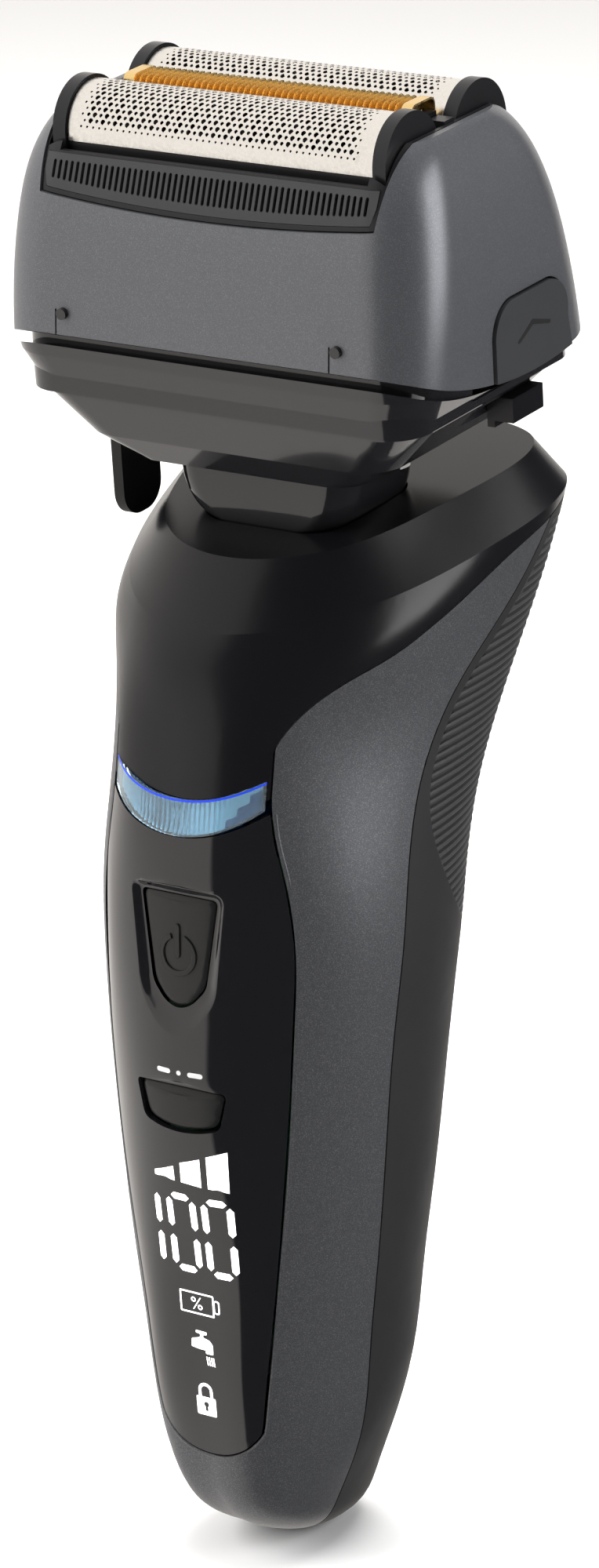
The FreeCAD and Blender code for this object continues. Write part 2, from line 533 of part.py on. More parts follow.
def cutter(row):
    """A slotted half-round inner cutter under one foil."""
    drum = rod(CUTTER_R, 2 * CUTTER_HALF, V(-CUTTER_HALF, row, FOIL_AXIS), X_AXIS)
    dome = drum.common(box(-CUTTER_HALF, CUTTER_HALF, row - CUTTER_R, row + CUTTER_R, FOIL_AXIS, 40))
    dome = dome.cut(rod(CUTTER_R - 1.2, 2 * SIDE, V(-SIDE, row, FOIL_AXIS), X_AXIS))
    slots = [box(x - 0.45, x + 0.45, row - 6, row + 6, FOIL_AXIS + 0.4, 40) for x in blade_gaps()]
    base = box(-CUTTER_HALF, CUTTER_HALF, row - 3.5, row + 3.5, 28.4, FOIL_AXIS - 1.4)
    sides = [box(-CUTTER_HALF, CUTTER_HALF, y, y + 1.2, 28.4, FOIL_AXIS) for y in (row - CUTTER_R, row + CUTTER_R - 1.2)]
    return fuse([dome.cut(group(slots)), base] + sides)


def blade_gaps():
    """Where the slots between a cutter's blades lie."""
    count = 17
    pitch = 2 * (CUTTER_HALF - 0.8) / count
    return [-CUTTER_HALF + 0.8 + pitch * (index + 0.5) for index in range(count)]


def drive_parts():
    """The oscillating carrier, its springs, the three cutters and the centre trimmer."""
    plate = box(-14.5, 14.5, -9.2, 9.2, 15.5, 17.0)
    stem = rod(4.6, 12.9, V(0, 0, 2.6))
    bore = rod(3.5, 4.4, V(0, 0, 2.6))
    posts = [box(x - 1.0, x + 1.0, row - 1.0, row + 1.0, 17.0, 23.5) for row in (-FOIL_ROW, FOIL_ROW) for x in (-9, 9)]
    posts += [box(x - 1.0, x + 1.0, -0.9, 0.9, 17.0, 25.0) for x in (-9, 9)]
    carrier = fuse([plate, stem] + posts).cut(bore)
    springs = [tube(1.9, 1.55, 9.9, V(x, row, 17.0)) for row in (-FOIL_ROW, FOIL_ROW) for x in (-9, 9)]
    half_y, low, high = TRIM_PLATE
    stem_y, stem_low = TRIM_STEM
    walls = [box(-TRIM_HALF, TRIM_HALF, y, y + 0.35, stem_low, low) for y in (-stem_y, stem_y - 0.35)]
    top = box(-TRIM_HALF, TRIM_HALF, -half_y, half_y, low, high)
    trimmer = fuse([top] + walls)
    links = [box(x, x + 0.9, -1.0, 1.0, 30.2, 34.9) for x in (TRIM_HALF + 0.05, -TRIM_HALF - 0.95)]
    rails = [box(-TRIM_HALF - 0.95, TRIM_HALF + 0.95, y, y + 0.5, 30.2, stem_low) for y in (-1.75, 1.25)]
    bars = [box(x, x + 0.9, -1.75, 1.75, 30.2, stem_low) for x in (TRIM_HALF + 0.05, -TRIM_HALF - 0.95)]
    blade = box(-16.4, 16.4, -0.85, 0.85, 27.4, 34.6)
    teeth = [box(x - 0.3, x + 0.3, -2, 2, 32.4, 40) for x in trimmer_gaps()]
    return {"cutter_carrier": carrier, "cutter_springs": group(springs), "front_cutter": cutter(-FOIL_ROW),
            "rear_cutter": cutter(FOIL_ROW), "trimmer_blade": blade.cut(group(teeth)),
            "centre_trimmer": trimmer, "trimmer_carrier": fuse(links + rails + bars)}


def trimmer_gaps():
    """Where the gaps between the inner trimmer's teeth lie."""
    count = 22
    pitch = 2 * 15.8 / count
    return [-15.8 + pitch * (index + 0.5) for index in range(count)]


def collar_parts():
    """The glossy collar, its side guard, the lock slider and the pivot yoke."""
    collar = stacked(COLLAR_STATIONS, 0.0, True).cut(parting_drum(PARTING_GAP))
    cave = slab(rounded_plan(13.6, 11.2, 0.0, 4.0, -10), V(0, 0, 10 + DECK[0]))
    bowl = stacked(COLLAR_STATIONS[2:], 1.6, True).common(box(-SIDE, SIDE, FRONT, BACK, DECK[1], 30))
    shaft_way = slab(rounded_plan(6.2, 5.0, 0.0, 2.0, 0), V(0, 0, 20))
    lugs = [box(-3.2, 3.2, y, y + 2.6, PIVOT_DROP - 2.4, DECK[0]) for y in (-11.4, 8.8)]
    spigot = stacked(FRAME_STATIONS[:3], HEAD_WALL + 0.4).cut(stacked(FRAME_STATIONS[:3], HEAD_WALL + 1.6))
    spigot = spigot.common(box(-SIDE, SIDE, FRONT, BACK, 4.2, 14.5))
    spigot = spigot.cut(box(-SIDE, SIDE, -3.6, 15.0, 5.0, 20))
    collar = fuse([collar.cut(cave).cut(bowl), spigot.cut(cave)]).cut(shaft_way)
    collar = fuse([collar] + lugs).cut(rod(YOKE_PIN + FIT, 2 * 11.0, V(0, -11.0, PIVOT_DROP), Y_AXIS))
    y0, y1, z0, z1 = SLIDER_WINDOW
    collar = collar.cut(box(21.3, 27, y0, y1, z0, z1)).cut(box(21.3, 22.5, y0, y1, z0 - 0.8, z1 + 0.8))
    tab = box(22.4, 24.75, y1 - SLIDER_LENGTH - 0.15, y1 - 0.15, z0 + 0.15, z1 - 0.15)
    foot = box(21.5, 22.4, y1 - SLIDER_LENGTH - 0.15, y1 - 0.15, z0 - 0.6, z1 + 0.6)
    ring = slab(rounded_plan(7.6, 6.6, 0.0, 2.0, PIVOT_DROP - 1.8), V(0, 0, 3.6)).cut(rod(3.6, 10, V(0, 0, -6)))
    pins = [rod(YOKE_PIN, 3.4, V(7.4, 0, PIVOT_DROP), X_AXIS), rod(YOKE_PIN, 3.4, V(-7.4, 0, PIVOT_DROP), -X_AXIS),
            rod(YOKE_PIN, 4.2, V(0, 6.4, PIVOT_DROP), Y_AXIS), rod(YOKE_PIN, 4.2, V(0, -6.4, PIVOT_DROP), -Y_AXIS)]
    parts = {"head_collar": collar, "lock_slider": fuse([tab, foot]), "pivot_yoke": fuse([ring] + pins)}
    plate = box(-19.1, -17.8, -8.2, -1.0, -12.7, -2.4)
    edges = [e for e in plate.Edges if e.BoundBox.ZMax < -12.6 and e.BoundBox.XLength > 1.0]
    parts["side_guard"] = plate.makeFillet(3.0, edges).cut(collar)
    return parts


def head_parts():
    """Everything on the pivoting head, still upright in its own frame."""
    return {**collar_parts(), **drive_parts(), **foil_head_parts(), **foil_parts(-FOIL_ROW, "front"),
            **foil_parts(FOIL_ROW, "rear")}


def main():
    """Writes one file per node."""
    os.makedirs("parts", exist_ok=True)
    lean = FreeCAD.Placement(HEAD_AT, FreeCAD.Rotation(X_AXIS, HEAD_LEAN))
    nodes = {**handle_parts(), **inner_parts()}
    for name, shape in head_parts().items():
        shape.Placement = lean.multiply(shape.Placement)
        nodes[name] = shape
    for name, shape in nodes.items():
        print(name, len(shape.Solids), round(shape.Volume, 1), shape.isValid())
        shape.exportStep(f"parts/{name}.step")


main()
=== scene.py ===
"""Looks for the electric foil shaver: finishes, fine detail, soft studio light and camera."""
import json
import math
import random

import bmesh
import bpy
import numpy as np
from mathutils import Matrix, Vector
from mathutils.bvhtree import BVHTree
from mathutils.geometry import delaunay_2d_cdt


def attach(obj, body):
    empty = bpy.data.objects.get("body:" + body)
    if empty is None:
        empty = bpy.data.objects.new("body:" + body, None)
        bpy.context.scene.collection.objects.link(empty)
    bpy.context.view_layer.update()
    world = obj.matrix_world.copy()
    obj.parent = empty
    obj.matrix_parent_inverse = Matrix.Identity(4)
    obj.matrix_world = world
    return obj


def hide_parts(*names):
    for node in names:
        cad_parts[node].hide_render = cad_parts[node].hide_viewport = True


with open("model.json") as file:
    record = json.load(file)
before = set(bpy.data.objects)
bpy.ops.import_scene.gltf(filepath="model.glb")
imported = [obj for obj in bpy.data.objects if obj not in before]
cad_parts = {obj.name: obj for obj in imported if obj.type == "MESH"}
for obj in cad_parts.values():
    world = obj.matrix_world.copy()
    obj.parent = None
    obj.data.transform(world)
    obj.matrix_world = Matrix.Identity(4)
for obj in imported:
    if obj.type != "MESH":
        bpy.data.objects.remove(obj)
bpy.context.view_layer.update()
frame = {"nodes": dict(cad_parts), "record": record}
NODES = frame["nodes"]
MM = 0.001
HEAD = Matrix.Translation((0, -0.5, 130.2)) @ Matrix.Rotation(math.radians(6.0), 4, "X")
HEAD_TURN = HEAD.to_3x3()

# All lengths are in millimetres unless a name says otherwise.
PANEL_EDGE = [(6.6, 17.7), (7.1, 20.5), (8.6, 32.0), (10.1, 44.0), (11.3, 56.0), (12.1, 68.0), (12.3, 76.0),
              (11.6, 83.0), (10.6, 88.0), (10.15, 91.2)]      # x, z down the panel's right side
PANEL_FOOT = 13.9                       # lowest height of the panel
PANEL_THICK = 0.7
PANEL_GRID = 0.8                        # spacing of the points that bend the panel
BAR_HALF = 9.6                          # half length of the light bar
BAR_TOP, BAR_LOW = (94.8, 92.2), (91.6, 88.1)   # heights of the bar's edges at its ends and its middle
BAR_COLUMNS = 96                        # prism columns along the bar
KEY_GAP, SELECT_GAP = 0.2, 0.3          # clearance round the power key and the select key
POWER = ((68.5, 81.1), (3.4, 4.95), 2.6)       # heights, half widths at foot and head, rise of the round foot
SELECT = ((54.4, 59.1), (4.6, 5.6), 0.8)
POCKET = ((65.2, 82.3), (4.9, 6.1), 4.6)
POCKET_SINK = 0.75                      # depth of the pocket at the key
POWER_SINK, SELECT_SINK = 0.8, 0.35     # how far the key tops lie under the panel's surface
SIGN_LIFT = 0.035                       # how far the lit signs stand over the panel
FOIL_ROW, FOIL_AXIS, FOIL_R, FOIL_FOOT, FOIL_HALF = 6.75, 31.6, 4.95, 31.05, 19.2
FOIL_PITCH = 0.78                       # spacing of the foil's holes
ROW_PITCH = 0.866 * FOIL_PITCH          # spacing of its staggered rows
HOLE_SIZES, EDGE_HOLE = (0.31, 0.23), 0.15     # radii of the holes, and of those along the edges
TRIMMER_HALF, TRIMMER_TOP, TRIMMER_CORNER, TRIMMER_DROP = 2.35, 36.1, 0.9, 1.4
TRIMMER_LONG = 18.2                     # half length of the gold plate
TRIMMER_SLOTS, TRIMMER_REACH, TRIMMER_SLOT = 43, 16.9, 0.17    # count, half length of the row, half width
COMB_SLOTS, COMB_REACH, COMB_SLOT = 54, 19.6, 0.19
COMB_TOP, COMB_HALF = 30.2, 20.8
RIB_PITCH = 0.97
RIB_RISE = 0.12                         # slope of the ribs towards the back
RIB_SHAPE = [(0.0, 0.42), (0.14, 0.4), (0.28, 0.1), (0.5, 0.0), (0.78, 0.06), (0.92, 0.34)]    # share, depth
CHEVRON = [(1.9, 10.2), (2.3, 9.95), (5.1, 11.35), (8.6, 10.45), (8.8, 10.85), (5.0, 12.0)]    # head y, z
EYE, EYE_AIM = (0.326469, -0.502565, 0.270797), (0.0001, 0.0, 0.08759)     # metres
STUDIO_DARK, STUDIO_WARM = (0.06, 0.06, 0.065), (1.05, 1.0, 0.95)
FLAKE_MM, FLAKE_SHARE = 0.07, 0.35      # size of a paint flake, and the share of flakes that shine
EDGE_SPOT = (4.3, 52.0)                 # where the bright side of the studio ends, seen in the front panel


# ---- materials ----------------------------------------------------------------------------------------
class Paint:
    """A node material under construction."""

    def __init__(self, name, colour, roughness, metallic=0.0):
        self.material = bpy.data.materials.new(name)
        self.material.use_nodes = True
        self.tree = self.material.node_tree
        self.shader = self.tree.nodes["Principled BSDF"]
        self.put(self.shader, "Base Color", (*colour, 1))
        self.put(self.shader, "Roughness", roughness)
        self.put(self.shader, "Metallic", metallic)
        self.place = self.tree.nodes.new("ShaderNodeTexCoord").outputs["Object"]

    def put(self, node, name, value):
        node.inputs[name].default_value = value

    def link(self, output, node, name):
        self.tree.links.new(output, node.inputs[name])

    def node(self, kind, **values):
        made = self.tree.nodes.new(kind)
        for name, value in values.items():
            self.put(made, name.replace("_", " "), value)
        return made

    def noise(self, size_mm, detail=2.0, rough=0.5):
        made = self.node("ShaderNodeTexNoise", Scale=1.0 / (size_mm * MM), Detail=detail, Roughness=rough)
        self.link(self.place, made, "Vector")
        return made.outputs["Fac"]

    def ramp(self, factor, low, high, start=0.0, end=1.0):
        made = self.node("ShaderNodeMapRange")
        self.put(made, "From Min", start)
        self.put(made, "From Max", end)
        self.put(made, "To Min", low)
        self.put(made, "To Max", high)
        self.link(factor, made, "Value")
        return made.outputs["Result"]

    def mix(self, factor, first, second, name="Base Color"):
        made = self.tree.nodes.new("ShaderNodeMix")
        made.data_type = "RGBA"
        made.inputs[6].default_value = (*first, 1)
        made.inputs[7].default_value = (*second, 1)
        self.tree.links.new(factor, made.inputs[0])
        self.link(made.outputs[2], self.shader, name)

    def rough(self, factor, low, high, start=0.3, end=0.7):
        self.link(self.ramp(factor, low, high, start, end), self.shader, "Roughness")

    def bump(self, factor, strength, depth_mm):
        made = self.node("ShaderNodeBump", Strength=strength, Distance=depth_mm * MM)
        self.link(factor, made, "Height")
        self.link(made.outputs["Normal"], self.shader, "Normal")

    def sparkle(self, size_mm, dark, bright, share):
        """Fine metal flakes: a share of small cells catches the light."""
        cells = self.node("ShaderNodeTexVoronoi", Scale=1.0 / (size_mm * MM))
        self.link(self.place, cells, "Vector")
        split = self.tree.nodes.new("ShaderNodeSeparateColor")
        self.link(cells.outputs["Color"], split, "Color")
        flake = self.ramp(split.outputs["Red"], 0.0, 1.0, 1 - share, 1.0)
        self.mix(flake, dark, bright)
        return split.outputs["Green"]


def glossy(name, colour, roughness):
    """A polished plastic with a faint haze."""
    paint = Paint(name, colour, roughness)
    haze = paint.noise(6.0, 3.0)
    paint.rough(haze, roughness * 0.8, roughness * 1.4)
    paint.put(paint.shader, "Coat Weight", 0.4)
    paint.put(paint.shader, "Coat Roughness", 0.03)
    return paint.material


def satin(name, colour, roughness, grain_mm=0.12, depth=0.012):
    """A moulded plastic or rubber with a fine grain."""
    paint = Paint(name, colour, roughness)
    paint.rough(paint.noise(9.0, 3.0), roughness * 0.92, roughness * 1.1)
    paint.bump(paint.noise(grain_mm, 1.0), 0.35, depth)
    return paint.material


def dull(material, level):
    """Lowers a black's clear reflection evenly."""
    material.node_tree.nodes["Principled BSDF"].inputs["Specular IOR Level"].default_value = level


def flaked(name, dark, bright, roughness):
    """A half-metallic paint with fine flakes."""
    paint = Paint(name, dark, roughness, 0.55)
    grain = paint.sparkle(FLAKE_MM, dark, bright, FLAKE_SHARE)
    paint.rough(grain, roughness * 0.85, roughness * 1.15, 0.0, 1.0)
    paint.bump(grain, 0.12, 0.004)
    return paint.material


def metal(name, colour, roughness):
    """A brushed or plated metal with a fine roughness grain."""
    paint = Paint(name, colour, roughness, 1.0)
    paint.rough(paint.noise(0.3, 2.0), roughness * 0.75, roughness * 1.3)
    return paint.material


def glowing(name, colour, strength):
    """A lit surface."""
    paint = Paint(name, colour, 0.4)
    paint.put(paint.shader, "Emission Color", (*colour, 1))
    paint.put(paint.shader, "Emission Strength", strength)
    level = paint.ramp(paint.noise(1.5, 2.0), 0.9 * strength, 1.1 * strength)
    paint.link(level, paint.shader, "Emission Strength")
    return paint.material


def clear(name, colour, roughness):
    """A see-through tinted plastic."""
    paint = Paint(name, colour, roughness)
    paint.put(paint.shader, "Transmission Weight", 0.95)
    paint.put(paint.shader, "IOR", 1.4)
    paint.rough(paint.noise(4.0), roughness * 0.8, roughness * 1.2)
    return paint.material


LOOKS = {
    "fascia_black": glossy("fascia_black", (0.006, 0.006, 0.007), 0.06),
    "satin_black": satin("satin_black", (0.005, 0.005, 0.006), 0.24),
    "blue_lens": glossy("blue_lens", (0.02, 0.12, 0.35), 0.1),
    "sparkle_grey": flaked("sparkle_grey", (0.07, 0.072, 0.078), (0.15, 0.153, 0.162), 0.4),
    "soft_black": satin("soft_black", (0.016, 0.016, 0.017), 0.55),
    "grip_rubber": satin("grip_rubber", (0.035, 0.035, 0.036), 0.5),
    "chassis_plastic": satin("chassis_plastic", (0.2, 0.2, 0.21), 0.5),
    "board": satin("board", (0.02, 0.12, 0.05), 0.4),
    "steel_small": metal("steel_small", (0.6, 0.6, 0.6), 0.3),
    "cell_sleeve": glossy("cell_sleeve", (0.03, 0.12, 0.25), 0.3),
    "nickel": metal("nickel", (0.7, 0.68, 0.6), 0.3),
    "motor_can": metal("motor_can", (0.55, 0.55, 0.56), 0.35),
    "seal_rubber": satin("seal_rubber", (0.02, 0.02, 0.02), 0.6),
    "gloss_black": glossy("gloss_black", (0.008, 0.008, 0.009), 0.08),
    "matte_black": satin("matte_black", (0.012, 0.012, 0.012), 0.6, 0.35, 0.06),
    # The cutter steel is made near black as painted shade, so the foil's holes show dark like the shaded inside of
    # the head.
    "blade_steel": metal("blade_steel", (0.05, 0.05, 0.05), 0.5),
    "gold_coat": metal("gold_coat", (0.9, 0.66, 0.3), 0.3),
    "head_grey": flaked("head_grey", (0.1, 0.103, 0.112), (0.145, 0.15, 0.163), 0.34),
    "cassette_black": satin("cassette_black", (0.01, 0.01, 0.011), 0.28),
    "button_grey": satin("button_grey", (0.025, 0.026, 0.028), 0.42),
    "comb_grey": satin("comb_grey", (0.03, 0.03, 0.032), 0.4),
    "foil_steel": metal("foil_steel", (0.85, 0.83, 0.79), 0.3),
    "key_black": satin("key_black", (0.012, 0.012, 0.012), 0.3, 0.2, 0.004),
    "prism_blue": metal("prism_blue", (0.15, 0.27, 0.35), 0.14),
    # prism_deep is a darker copy of prism_blue, laid on part of the light bar as painted shade.
    "prism_deep": metal("prism_deep", (0.012, 0.05, 0.13), 0.2),
    "deep_black": satin("deep_black", (0.003, 0.003, 0.003), 0.6),
    "print_grey": satin("print_grey", (0.6, 0.6, 0.6), 0.5),
    "clear_blue": clear("clear_blue", (0.72, 0.86, 0.93), 0.04),
}
DULLED = ("satin_black", "soft_black", "grip_rubber", "matte_black", "cassette_black", "comb_grey", "key_black")
for black in DULLED:
    dull(LOOKS[black], 0.3)
LED_WHITE = glowing("led_white", (1.0, 1.0, 1.0), 1.3)
LED_BLUE = glowing("led_blue", (0.0, 0.03, 0.55), 0.3)




def dress_cad():
    """Gives every CAD node the finish of its slot."""
    slots = {row["node"]: row["material_slot"] for row in frame["record"]["subparts"]}
    for name, node in NODES.items():
        node.data.materials.clear()
        node.data.materials.append(LOOKS[slots[name]])


# ---- making pieces ------------------------------------------------------------------------------------
def head_point(x, y, z):
    """A point of the leaning head's own frame, in the row frame."""
    return HEAD @ Vector((x, y, z))


def piece(name, points, faces, material, body, stands_for=(), smooth=True):
    """A mesh piece from points in millimetres, riding on a CAD body."""
    mesh = bpy.data.meshes.new(name)
    mesh.from_pydata([Vector(p) * MM for p in points], [], faces)
    mesh.validate()
    mesh.materials.append(material)
    for face in mesh.polygons:
        face.use_smooth = smooth
    made = bpy.data.objects.new(name, mesh)
    bpy.context.scene.collection.objects.link(made)
    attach(made, body)
    if stands_for:
        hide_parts(*stands_for)
    return made


def inside(point, loop):
    """True where a flat point lies inside a closed loop."""
    x, y = point
    odd = False
    for (ax, ay), (bx, by) in zip(loop, loop[1:] + loop[:1]):
        if (ay > y) != (by > y) and x < (bx - ax) * (y - ay) / (by - ay) + ax:
            odd = not odd
    return odd


def triangulate(outline, holes=(), lines=(), extra=()):
    """Flat triangles inside the outline and outside the holes, through some extra points."""
    points, edges, loops = [], [], []
    for number, loop in enumerate([outline, *holes, *lines]):
        first = len(points)
        turned = sum(ax * by - bx * ay for (ax, ay), (bx, by) in zip(loop, loop[1:] + loop[:1]))
        loop = loop if turned > 0 else loop[::-1]
        points += [Vector(p) for p in loop]
        if number <= len(holes):
            loops.append(list(range(first, first + len(loop))))
        else:
            edges += [(first + i, first + (i + 1) % len(loop)) for i in range(len(loop))]
    points += [Vector(p) for p in extra]
    made, _, faces, _, _, owners = delaunay_2d_cdt(points, edges, loops, 1, 1e-5)
    return [tuple(p) for p in made], [face for face, owner in zip(faces, owners) if list(owner) == [0]]


def thicken(points, normals, faces, depth):
    """Front and back skins of a sheet with its rims closed."""
    count = len(points)
    back = [Vector(p) - Vector(n) * depth for p, n in zip(points, normals)]
    seen = {}
    for face in faces:
        for a, b in zip(face, face[1:] + face[:1]):
            seen[(a, b)] = True
    rims = [(a, b) for a, b in seen if (b, a) not in seen]
    skins = list(faces) + [tuple(reversed([i + count for i in face])) for face in faces]
    return list(points) + back, skins + [(b, a, a + count, b + count) for a, b in rims]


def sheet_piece(name, flat, place, depth, material, body, stands_for=()):
    """A thin piece: flat triangles, bent by place(u, v) -> (point, normal)."""
    spots, faces = flat
    placed = [place(u, v) for u, v in spots]
    points, normals = [p for p, _ in placed], [n for _, n in placed]
    if faces:
        a, b, c = (Vector(points[i]) for i in faces[0][:3])
        if (b - a).cross(c - a).dot(normals[faces[0][0]]) < 0:
            faces = [tuple(reversed(face)) for face in faces]
    points, faces = thicken(points, normals, [tuple(face) for face in faces], depth)
    made = piece(name, points, faces, material, body, stands_for)
    sharpen(made)
    return made


def sharpen(made, degrees=35):
    """Smooth shading with hard edges past an angle."""
    mesh = made.data
    faces = {}
    for face in mesh.polygons:
        for key in face.edge_keys:
            faces.setdefault(key, []).append(face.normal.copy())
    limit = math.cos(math.radians(degrees))
    for edge in mesh.edges:
        pair = faces.get(tuple(sorted(edge.vertices)), [])
        edge.use_edge_sharp = len(pair) == 2 and pair[0].dot(pair[1]) < limit


def grid(low, high, step, keep):
    """A staggered grid of points that keep(point) accepts."""
    spots = []
    rows = int((high[1] - low[1]) / step)
    columns = int((high[0] - low[0]) / step)
    for row in range(1, rows):
        for column in range(1, columns):
            spot = (low[0] + (column + 0.5 * (row % 2)) * step, low[1] + row * step)
            if keep(spot):
                spots.append(spot)
    return spots


def curve_through(knots, steps=8):
    """A smooth open curve through knots, as points."""
    ends = [[2 * a - b for a, b in zip(knots[0], knots[1])], [2 * a - b for a, b in zip(knots[-1], knots[-2])]]
    row = [ends[0], *knots, ends[1]]
    points = []
    for i in range(1, len(row) - 2):
        p0, p1, p2, p3 = row[i - 1:i + 3]
        for step in range(steps):
            t = step / steps
            points.append(tuple(0.5 * (2 * b + (c - a) * t + (2 * a - 5 * b + 4 * c - d) * t * t
                                       + (3 * b - a - 3 * c + d) * t ** 3) for a, b, c, d in zip(p0, p1, p2, p3)))
    return points + [tuple(knots[-1])]


def arc(centre, radius, start, end, steps=12):
    """Points along a circular arc, in degrees."""
    angles = [math.radians(start + (end - start) * i / steps) for i in range(steps + 1)]
    return [(centre[0] + radius * math.cos(a), centre[1] + radius * math.sin(a)) for a in angles]


def capsule(x, low, high, half, steps=5):
    """A slot with round ends, standing upright."""
    return arc((x, high - half), half, 0, 180, steps) + arc((x, low + half), half, 180, 360, steps)


def smooth_loop(loop, radius, steps=8):
    """A closed outline with its corners rounded."""
    points = []
    for before, here, after in zip(loop[-1:] + loop[:-1], loop, loop[1:] + loop[:1]):
        b, h, a = Vector(before), Vector(here), Vector(after)
        cut = min(radius, (b - h).length / 2.05, (a - h).length / 2.05)
        start, end = h + (b - h).normalized() * cut, h + (a - h).normalized() * cut
        for i in range(steps + 1):
            t = i / steps
            points.append(tuple(start * (1 - t) ** 2 + h * 2 * t * (1 - t) + end * t * t))
    return points


def surface(nodes):
    """A ray target made of CAD nodes, in millimetres."""
    points, faces = [], []
    for name in nodes:
        mesh = NODES[name].data
        first = len(points)
        points += [vertex.co / MM for vertex in mesh.vertices]
        faces += [tuple(first + i for i in face.vertices) for face in mesh.polygons]
    return BVHTree.FromPolygons(points, faces)


def front_height():
    """The front of the handle as a smooth function y(x, z), fitted to the CAD shells."""
    target = surface(["front_panel", "side_frame", "light_bar", "upper_housing"])
    low, high, half = 11.0, 99.0, 11.5          # the fitted patch
    steps_up, steps_out = 44, 23
    powers_out, powers_up = range(4), range(9)
    rows, values = [], []
    for i in range(steps_up + 1):
        for j in range(steps_out + 1):
            x, z = half * (j / steps_out), low + (high - low) * i / steps_up
            hit, normal, _, _ = target.ray_cast(Vector((x + 0.01, -60, z)), Vector((0, 1, 0)))
            if hit is not None and normal.y < -0.2 and hit.y < -12:
                t = (2 * z - low - high) / (high - low)
                rows.append([(x / half) ** (2 * a) * t ** b for a in powers_out for b in powers_up])
                values.append(hit.y)
    fit = np.linalg.lstsq(np.array(rows), np.array(values), rcond=None)[0]
    fit = fit.reshape(len(powers_out), len(powers_up))

    def height(x, z):
        t = (2 * z - low - high) / (high - low)
        return float(sum(fit[a][b] * (x / half) ** (2 * a) * t ** b for a in powers_out for b in powers_up))
    return height


# ---- front panel and its keys -------------------------------------------------------------------------
def arc_over(half, end_z, middle_z, steps=16):
    """An arc across the front through its ends and its middle, left to right."""
    sag = middle_z - end_z
    radius = (half * half + sag * sag) / (2 * abs(sag))
    turn = math.degrees(math.asin(half / radius))
    if sag > 0:
        return arc((0, middle_z - radius), radius, 90 + turn, 90 - turn, steps)
    return arc((0, middle_z + radius), radius, 270 - turn, 270 + turn, steps)


def key_outline(heights, halves, rise, grow, corner=0.9):
    """The keys' shape: flat on top, tapering to a round foot."""
    low, high = heights[0] - grow, heights[1] + grow
    foot, head = halves[0] + grow, halves[1] + grow
    sole = [(foot * t, low + rise * t * t) for t in (-1, -0.5, 0, 0.5, 1)]
    return smooth_loop([(-head, high)] + sole + [(head, high)], corner)


def loop_distance(point, loop):
    """How far a flat point lies from a closed loop."""
    p = Vector(point)
    best = 1e9
    for a, b in zip(loop, loop[1:] + loop[:1]):
        a, b = Vector(a), Vector(b)
        run = b - a
        t = max(0.0, min(1.0, (p - a).dot(run) / max(run.length_squared, 1e-12)))
        best = min(best, (p - a - run * t).length)
    return best


def front_panel(height):
    """The polished panel with the sloping pocket that the power key lies in."""
    side = curve_through(PANEL_EDGE, 6)
    seam = 0.1
    right = [(x - seam, z) for x, z in side]
    foot = arc_over(right[0][0], right[0][1], PANEL_FOOT + seam, 20)[1:-1]
    bar = arc_over(right[-1][0], BAR_LOW[0] - 0.35, BAR_LOW[1] - 0.1, 24)[1:-1]
    outline = right + list(reversed(bar)) + [(-x, z) for x, z in reversed(right)] + foot
    select = key_outline(*SELECT, SELECT_GAP)
    lip = key_outline(*SELECT, KEY_GAP + 0.3)
    pocket = key_outline(*POCKET, 0.0, 1.6)
    rim = [(x * 0.985, PANEL_FOOT + (z - PANEL_FOOT) * 0.997 + 0.2) for x, z in outline]
    spots = grid((-13, 13), (13, 93), PANEL_GRID,
                 lambda p: inside(p, rim) and not inside(p, lip) and not inside(p, pocket))
    flat = triangulate(outline, [pocket, select], (), spots)
    sheet_piece("front_panel_fine", flat, on_front(height, 0.0), PANEL_THICK, LOOKS["fascia_black"], "handle",
                ["front_panel"])
    power = key_outline(*POWER, KEY_GAP)
    count, points = len(pocket), []
    shares = (0.0, 0.06, 0.16, 0.3, 0.45, 0.6, 0.75, 0.88, 1.0)
    for share in shares:
        sink = POCKET_SINK * math.sin(share * math.pi / 2) ** 1.3
        for (ax, az), (bx, bz) in zip(pocket, power):
            points.append(on_front(height, sink)(ax + (bx - ax) * share, az + (bz - az) * share)[0])
    faces = []
    for ring in range(len(shares) - 1):
        for i in range(count):
            a, b = ring * count + i, ring * count + (i + 1) % count
            faces.append((a, a + count, b + count, b))
    piece("power_pocket", points, faces, LOOKS["fascia_black"], "handle")


def on_front(height, depth):
    """Places flat shapes on the front, depth under its surface."""
    def place(x, z):
        slope_x = (height(x + 0.05, z) - height(x - 0.05, z)) / 0.1
        slope_z = (height(x, z + 0.05) - height(x, z - 0.05)) / 0.1
        normal = Vector((slope_x, -1, slope_z)).normalized()
        return Vector((x, height(x, z), z)) - normal * depth, normal
    return place


